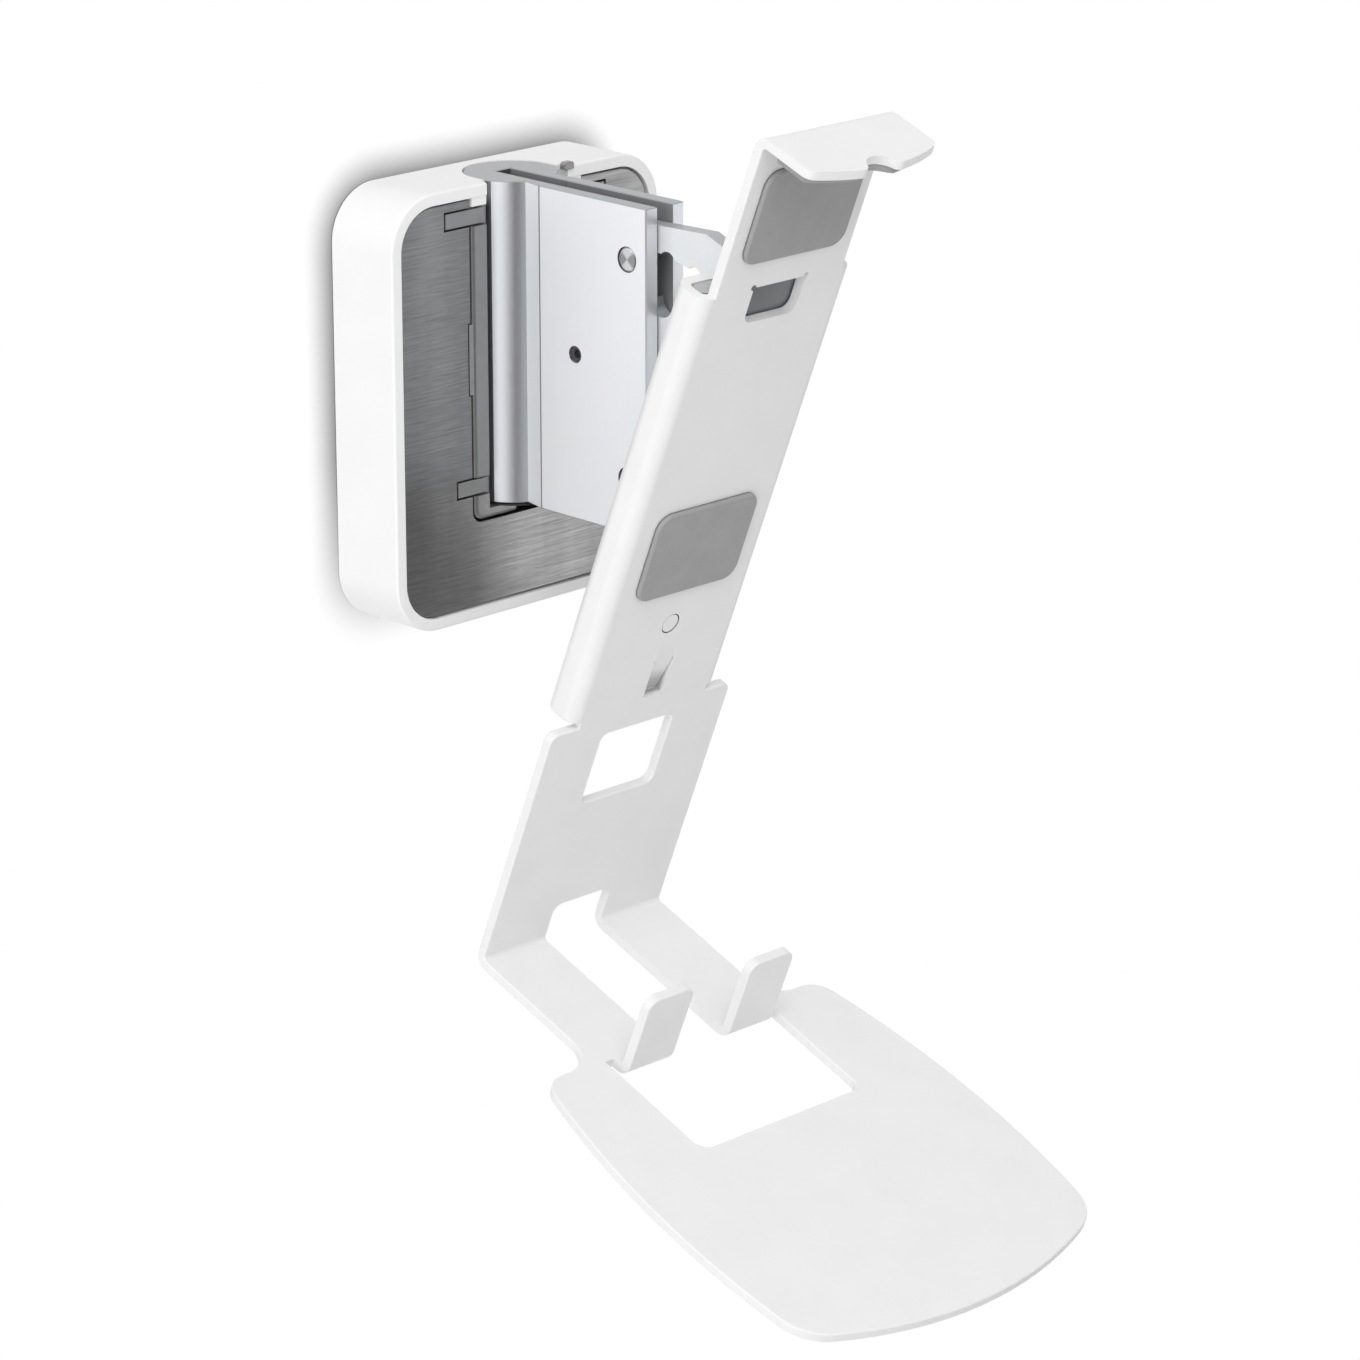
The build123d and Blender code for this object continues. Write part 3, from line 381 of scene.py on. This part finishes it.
def arm_aluminium():
    """The arm: blasted sides, a brighter front and barrel, sawn ends darkened partly by their finish and
    partly by painted shade, and painted shade in the slot, grooves and bearing.
    """
    front_margin = 0.07
    finish, satin = satin_aluminium("satin_arm", 0.9)
    level_faces = finish.math("ABSOLUTE", finish.facing((0, 0, 1)))
    upright = finish.math("LESS_THAN", level_faces, 0.5)

    # Painted shade: a darker colour on the upright faces of a place
    def painted_shade(place, level):
        return finish.blend(finish.math("MULTIPLY", place, upright), grey(1.0), grey(level))

    # Darker level faces at top and bottom: partly a duller sawn finish, partly painted shade
    sawn_and_painted_shade = finish.blend(level_faces, grey(1.0), grey(0.46))
    inside_slot = finish.within(finish.along((1, 0, 0)), 0.0, arm_slot_half)
    from_wall = finish.along((0, 1, 0))
    # Painted shade in the slot, in the neck grooves and on the barrel inside the cradle
    painted_slot_shade = painted_shade(inside_slot, 0.32)
    painted_groove_shade = painted_shade(finish.within(from_wall, neck_groove_place, neck_groove_half), 0.8)
    outside_slot = finish.math("LESS_THAN", inside_slot, 0.5)
    bearing = finish.math("MULTIPLY", finish.within(from_wall, 0.0, bearing_depth), outside_slot)
    painted_shades = finish.multiply(painted_slot_shade, finish.multiply(painted_groove_shade, painted_shade(bearing, 0.45)))
    finish.colour(finish.multiply(finish.multiply(satin, sawn_and_painted_shade), painted_shades))
    front = finish.math("SUBTRACT", finish.facing((0, -1, 0)), front_margin)
    bright = finish.math("MAXIMUM", front, finish.math("MULTIPLY", bearing, upright))
    finish.metal(finish.spread(bright, 0.12, 1.0))
    return finish.material


def carrier_aluminium():
    """The tilt carrier, with sawn top edges darkened partly by their finish and partly by painted shade,
    and painted shade on the front of its flange.
    """
    finish, satin = satin_aluminium("satin_carrier", 0.86)
    # Painted shade on the front of the flange, where it lies in the channel
    painted_flange_shade = finish.blend(finish.facing(rest_out), grey(1.0), grey(0.3))
    # Darker top faces: partly a duller sawn finish, partly painted shade
    sawn_and_painted_shade = finish.blend(finish.facing((0, 0, 1)), grey(1.0), grey(0.55))
    finish.colour(finish.multiply(finish.multiply(satin, painted_flange_shade), sawn_and_painted_shade))
    return finish.material


def grey_moulding():
    """Moulding of the cradle and the clips, painted a satin silver grey."""
    finish = Finish("silver_grey_moulding", roughness=0.4, metallic=0.85)
    grain = finish.noise(finish.coordinates(), scale=2200, detail=2)
    cloud = finish.noise(finish.coordinates(), scale=120, detail=2)
    finish.colour(finish.blend(cloud, grey(0.335), grey(0.365)))
    finish.gloss(finish.spread(grain, 0.34, 0.46))
    finish.relief(grain, depth=0.04 * MM, strength=0.2)
    return finish.material


def soft_pad():
    """Grey rubber foam of the pads, matt with fine pores."""
    finish = Finish("soft_grey_pad", roughness=0.85, Specular_IOR_Level=0.25)
    pores = finish.noise(finish.coordinates(), scale=2400, detail=4, roughness=0.65)
    cloud = finish.noise(finish.coordinates(), scale=150, detail=2)
    shade = finish.blend(cloud, grey(0.375), grey(0.395))
    finish.colour(finish.multiply(shade, finish.blend(pores, grey(0.9), grey(1.0))))
    finish.gloss(finish.spread(pores, 0.8, 0.92))
    finish.relief(pores, depth=0.12 * MM, strength=0.35)
    return finish.material


def plated_steel():
    """Zinc-plated steel of the wall plate and its screws, with a cloudy spangle."""
    finish = Finish("zinc_plated_steel", roughness=0.4, metallic=1.0)
    spangle = finish.noise(finish.coordinates(), scale=260, detail=4)
    grain = finish.noise(finish.coordinates(), scale=1800, detail=2)
    finish.colour(finish.blend(spangle, grey(0.55, -0.02), grey(0.68, -0.01)))
    finish.gloss(finish.spread(spangle, 0.34, 0.5))
    finish.relief(grain, depth=0.02 * MM, strength=0.2)
    return finish.material


def turned_steel(name, centre):
    """Faced end of a rivet: fine rings round its centre, and a painted highlight of the wedges of light
    that they give.
    """
    finish = Finish(name, roughness=0.3, metallic=0.85)
    rings = finish.rings(finish.coordinates(centre=centre), scale=900)
    scuff = finish.noise(finish.coordinates(), scale=1500, detail=3)
    # Painted highlight: light wedges above and below, darker at the sides
    finish.colour(finish.blend(finish.painted_highlight_wedges(centre), grey(0.42, -0.01), grey(0.88, -0.01)))
    finish.gloss(finish.spread(scuff, 0.24, 0.36))
    finish.relief(rings, depth=0.02 * MM, strength=0.3)
    return finish.material


def black_steel():
    """Blackened socket screw."""
    finish = Finish("black_steel", roughness=0.42, metallic=0.6)
    scuff = finish.noise(finish.coordinates(), scale=1200, detail=3)
    finish.colour(finish.blend(scuff, grey(0.1), grey(0.16)))
    finish.gloss(finish.spread(scuff, 0.34, 0.5))
    return finish.material


def dark_nylon():
    """Filled nylon of the washers, the bush and the brake shoe."""
    finish = Finish("dark_nylon", roughness=0.55)
    grain = finish.noise(finish.coordinates(), scale=1700, detail=3)
    finish.colour(finish.blend(grain, grey(0.018), grey(0.032)))
    finish.gloss(finish.spread(grain, 0.45, 0.65))
    finish.relief(grain, depth=0.03 * MM, strength=0.2)
    return finish.material


# The solids in their finishes

facet_gap = 0.001 * MM
crease_angle = math.radians(31)


def middle_of(node):
    low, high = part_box(node)
    return (low + high) / 2


def even_normals(piece, weight):
    """Lets the large faces of a piece lead its shading."""
    normals = piece.modifiers.new("even_normals", "WEIGHTED_NORMAL")
    normals.weight = weight


def dress(node, material):
    """A finish for a solid, with its facets joined so that bends and roundings shade smoothly."""
    piece = nodes[node]
    piece.data.materials.clear()
    piece.data.materials.append(material)
    piece.data.shade_smooth()
    weld = piece.modifiers.new("joined_facets", "WELD")
    weld.merge_threshold = facet_gap
    creases = piece.modifiers.new("creases", "EDGE_SPLIT")
    creases.split_angle = crease_angle
    even_normals(piece, weight=90)


coat = powder_coat()
moulding = grey_moulding()
nylon = dark_nylon()
zinc = plated_steel()

dress("speaker_bracket", coat)
dress("stop_rivet", coat)
dress("wall_cover", white_moulding())
dress("face_plate", brushed_steel())
dress("arm", arm_aluminium())
dress("tilt_carrier", carrier_aluminium())
for node in ("arm_cradle", "upper_clips", "lower_clips", "top_clip"):
    dress(node, moulding)
for node in ("wall_plate", "cradle_screws"):
    dress(node, zinc)
for node in ("pivot_rivet", "guide_rivet"):
    dress(node, turned_steel("turned_" + node, middle_of(node)))
dress("lock_screw", black_steel())
for node in ("brake_shoe", "thrust_washer", "pivot_bush", "friction_washers"):
    dress(node, nylon)


# Pads that the speaker leans on

rubber = soft_pad()


def new_piece(name, made, material, body):
    """A piece of the scene from a bmesh, riding on a body."""
    mesh = bpy.data.meshes.new(name)
    made.to_mesh(mesh)
    made.free()
    mesh.materials.append(material)
    mesh.shade_smooth()
    piece = bpy.data.objects.new(name, mesh)
    bpy.context.scene.collection.objects.link(piece)
    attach(piece, body)
    return piece


def round_edges(made, edges, radius, segments):
    bmesh.ops.bevel(
        made,
        geom=edges,
        offset=radius,
        offset_type="OFFSET",
        affect="EDGES",
        segments=segments,
        profile=0.5,
        material=-1,
    )


def front_of(made):
    """The face that lies furthest out from the sheet."""
    return max(made.faces, key=lambda face: face.calc_center_median().z)


def stuck_pad(node):
    """A soft pad on the front of the sheet: rounded corners, a rolled edge and a slightly full face."""
    corner_radius = 5.0 * MM
    roll_radius = 0.8 * MM
    # Width and rise of each step from the rolled edge towards the middle of the face
    face_steps = ((0.6 * MM, -0.05 * MM), (1.2 * MM, 0.03 * MM), (2.0 * MM, 0.02 * MM))
    low, high = rest_box(node)
    size = high - low
    made = bmesh.new()
    bmesh.ops.create_cube(made, size=1.0)
    bmesh.ops.scale(made, vec=size, verts=made.verts)
    corners = [
        edge for edge in made.edges
        if abs((edge.verts[0].co - edge.verts[1].co).z) > size.z / 2
    ]
    round_edges(made, corners, corner_radius, segments=10)
    round_edges(made, list(front_of(made).edges), roll_radius, segments=5)
    front = front_of(made)
    for width, rise in face_steps:
        bmesh.ops.inset_region(made, faces=[front], thickness=width, depth=rise, use_even_offset=True)
    bmesh.ops.translate(made, vec=(low + high) / 2, verts=made.verts)
    bmesh.ops.transform(made, matrix=rest_to_frame, verts=made.verts)
    piece = new_piece("soft_" + node, made, rubber, "speaker_rest")
    even_normals(piece, weight=60)
    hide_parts(node)


for node in ("upper_pad", "lower_pad"):
    stuck_pad(node)


def under_lip_pad():
    """The pad under the lip, bowed at its front and notched in the middle like the lip."""
    columns, rows = 64, 8
    bow = 4.9 * MM
    notch_half = 7.2 * MM
    notch_depth = 4.0 * MM
    notch_fullness = 0.6
    roll_radius = 0.6 * MM
    rim_angle = math.radians(40)
    low, high = rest_box("lip_pad")
    width = high.x - low.x
    made = bmesh.new()
    bmesh.ops.create_grid(made, x_segments=columns, y_segments=rows, size=0.5)
    for vertex in made.verts:
        across = vertex.co.x * width
        front = high.z - bow * (2 * vertex.co.x) ** 2
        if abs(across) < notch_half:
            dip = 0.5 + 0.5 * math.cos(math.pi * across / notch_half)
            front -= notch_depth * dip ** notch_fullness
        along = low.z + (vertex.co.y + 0.5) * (front - low.z)
        vertex.co = Vector(((low.x + high.x) / 2 + across, high.y, along))
    sheet = bmesh.ops.extrude_face_region(made, geom=list(made.faces))
    moved = [item for item in sheet["geom"] if isinstance(item, bmesh.types.BMVert)]
    bmesh.ops.translate(made, vec=Vector((0, low.y - high.y, 0)), verts=moved)
    bmesh.ops.recalc_face_normals(made, faces=made.faces)
    rim = [edge for edge in made.edges if edge.is_manifold and edge.calc_face_angle() > rim_angle]
    round_edges(made, rim, roll_radius, segments=3)
    bmesh.ops.transform(made, matrix=rest_to_frame, verts=made.verts)
    piece = new_piece("soft_lip_pad", made, rubber, "speaker_rest")
    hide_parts("lip_pad")


under_lip_pad()


# Stage: a white wall that shows from the front only, a pale floor below, and soft light

def stage_piece(name, made):
    mesh = bpy.data.meshes.new(name)
    made.to_mesh(mesh)
    made.free()
    piece = bpy.data.objects.new(name, mesh)
    bpy.context.scene.collection.objects.link(piece)
    return piece


def stage_plane(name, corners):
    made = bmesh.new()
    made.faces.new([made.verts.new(corner) for corner in corners])
    return stage_piece(name, made)


def rectangle(left, right, near, far):
    """Corners of a rectangle, in turn."""
    return [(left, near), (right, near), (right, far), (left, far)]


def bare_material(name):
    """A material with no shader yet, and the socket that its surface goes to."""
    material = bpy.data.materials.new(name)
    material.use_nodes = True
    material.node_tree.nodes.clear()
    output = material.node_tree.nodes.new("ShaderNodeOutputMaterial")
    return material, output.inputs["Surface"]


def seen_paths(tree):
    """A light path node, and a value that is 1 where a ray is seen: by eye, in metal or through glass."""
    path = tree.nodes.new("ShaderNodeLightPath")
    seen = path.outputs["Is Camera Ray"]
    for ray in ("Is Glossy Ray", "Is Transmission Ray"):
        either = tree.nodes.new("ShaderNodeMath")
        either.operation = "MAXIMUM"
        tree.links.new(seen, either.inputs[0])
        tree.links.new(path.outputs[ray], either.inputs[1])
        seen = either.outputs["Value"]
    return path, seen


def contact_shade(tree, path):
    """White that darkens close to the box, less so towards its lower end, but stays plain in the metal."""
    contact_reach = 10.5 * MM
    darkest = 0.2
    darkest_share = 0.4
    fade_start = -15 * MM
    fade_end = -65 * MM
    most_fading = 0.6
    contact = tree.nodes.new("ShaderNodeAmbientOcclusion")
    contact.samples = 16
    contact.inputs["Distance"].default_value = contact_reach
    place = tree.nodes.new("ShaderNodeTexCoord")
    height = tree.nodes.new("ShaderNodeSeparateXYZ")
    low_down = tree.nodes.new("ShaderNodeMapRange")
    low_down.inputs["From Min"].default_value = fade_start
    low_down.inputs["From Max"].default_value = fade_end
    low_down.inputs["To Max"].default_value = most_fading
    fading = tree.nodes.new("ShaderNodeMix")
    fading.inputs["B"].default_value = 1.0
    plain = tree.nodes.new("ShaderNodeMath")
    plain.operation = "MAXIMUM"
    shade = tree.nodes.new("ShaderNodeValToRGB")
    shade.color_ramp.elements[0].position = darkest_share
    shade.color_ramp.elements[0].color = (*grey(darkest), 1.0)
    tree.links.new(place.outputs["Object"], height.inputs["Vector"])
    tree.links.new(height.outputs["Z"], low_down.inputs["Value"])
    tree.links.new(low_down.outputs["Result"], fading.inputs["Factor"])
    tree.links.new(contact.outputs["AO"], fading.inputs["A"])
    tree.links.new(fading.outputs["Result"], plain.inputs[0])
    tree.links.new(path.outputs["Is Glossy Ray"], plain.inputs[1])
    tree.links.new(plain.outputs["Value"], shade.inputs["Fac"])
    return shade.outputs["Color"]


def white_wall():
    """The wall behind the bracket, white in the picture, with a soft contact shadow round the box."""
    reach = 4.0
    behind = 0.4 * MM
    corners = [(x, behind, z) for x, z in rectangle(-reach, reach, -reach, reach)]
    material, surface = bare_material("wall_white")
    tree = material.node_tree
    path, seen = seen_paths(tree)
    geometry = tree.nodes.new("ShaderNodeNewGeometry")
    front = tree.nodes.new("ShaderNodeMath")
    front.operation = "SUBTRACT"
    front.use_clamp = True
    clear = tree.nodes.new("ShaderNodeBsdfTransparent")
    white = tree.nodes.new("ShaderNodeEmission")
    mix = tree.nodes.new("ShaderNodeMixShader")
    tree.links.new(contact_shade(tree, path), white.inputs["Color"])
    tree.links.new(seen, front.inputs[0])
    tree.links.new(geometry.outputs["Backfacing"], front.inputs[1])
    tree.links.new(front.outputs["Value"], mix.inputs["Fac"])
    tree.links.new(clear.outputs["BSDF"], mix.inputs[1])
    tree.links.new(white.outputs["Emission"], mix.inputs[2])
    tree.links.new(mix.outputs["Shader"], surface)
    stage_plane("wall", corners).data.materials.append(material)


def pale_floor():
    """A pale floor, well below the bracket, which doesn't show from underneath."""
    reach = 4.0
    height = -0.75
    corners = [(x, y, height) for x, y in rectangle(-reach, reach, -reach, reach)]
    finish = Finish("floor_pale", roughness=0.9)
    cloud = finish.noise(finish.coordinates(), scale=3, detail=2)
    finish.colour(finish.blend(cloud, grey(0.9), grey(0.92)))
    finish.from_front_only()
    stage_plane("floor", corners).data.materials.append(finish.material)


def white_world():
    """Even white surroundings, dimmer for the light that they give."""
    given_light = 0.64
    world = bpy.data.worlds.new("surroundings")
    bpy.context.scene.world = world
    world.use_nodes = True
    tree = world.node_tree
    background = tree.nodes["Background"]
    background.inputs["Color"].default_value = (*grey(1.0), 1.0)
    _, seen = seen_paths(tree)
    level = tree.nodes.new("ShaderNodeMapRange")
    level.inputs["To Min"].default_value = given_light
    level.inputs["To Max"].default_value = 1.0
    tree.links.new(seen, level.inputs["Value"])
    tree.links.new(level.outputs["Result"], background.inputs["Strength"])


def soft_lamp(name, place, size, power):
    """A square lamp that faces the middle of the bracket and doesn't show in it."""
    data = bpy.data.lights.new(name, "AREA")
    data.shape = "SQUARE"
    data.size = size
    data.energy = power
    lamp = bpy.data.objects.new(name, data)
    bpy.context.scene.collection.objects.link(lamp)
    aim = (cad_low + cad_high) / 2
    lamp.location = Vector(place)
    lamp.rotation_euler = (aim - lamp.location).to_track_quat("-Z", "Y").to_euler()
    lamp.visible_camera = False
    lamp.visible_glossy = False
    return lamp


def sheen_lamp():
    """A low lamp at the right, which only shows as a sheen."""
    lamp = soft_lamp("sheen_lamp", place=(1.27, -1.3, -0.6), size=0.8, power=4.0)
    lamp.visible_glossy = True
    lamp.visible_diffuse = False


def darken(board, level):
    """Makes a stage piece a dark card that only shows in what shines, as beside a product on a table."""
    material, surface = bare_material(board.name + "_card")
    tree = material.node_tree
    card = tree.nodes.new("ShaderNodeEmission")
    card.inputs["Color"].default_value = (*grey(level), 1.0)
    tree.links.new(card.outputs["Emission"], surface)
    board.data.materials.append(material)
    board.visible_camera = False
    board.visible_diffuse = False
    board.visible_shadow = False
    board.visible_transmission = False


def dark_screen():
    """A tall curved screen round the front of the bracket, with an apron just above the floor."""
    radius, apron_radius = 2.2, 0.5
    foot, head = -0.74, 1.3
    start, sweep = math.radians(213), math.radians(130)
    steps = 26
    outward = Vector((math.cos(start), math.sin(start), 0))
    upward = Vector((0, 0, 1))
    apron = outward * apron_radius + upward * foot
    corner = outward * radius + upward * foot
    top = outward * radius + upward * head
    made = bmesh.new()
    points = [made.verts.new(point) for point in (apron, corner, top)]
    edges = [made.edges.new(pair) for pair in zip(points, points[1:])]
    bmesh.ops.spin(made, geom=[*points, *edges], axis=upward, angle=sweep, steps=steps)
    darken(stage_piece("front_screen", made), 0.1)


def low_board():
    """A board just above the floor, which the front of the carrier's flange shows."""
    left, right = 0.2, 1.8
    near, far = -1.2, -0.05
    height = -0.72
    corners = [(x, y, height) for x, y in rectangle(left, right, near, far)]
    darken(stage_plane("low_board", corners), 0.25)


white_wall()
pale_floor()
white_world()
soft_lamp("key_lamp", place=(-0.75, -1.1, 1.35), size=1.1, power=13.5)
soft_lamp("side_lamp", place=(-1.6, -0.35, 0.1), size=1.0, power=6.7)
sheen_lamp()
dark_screen()
low_board()

bpy.context.scene.view_settings.view_transform = "Standard"
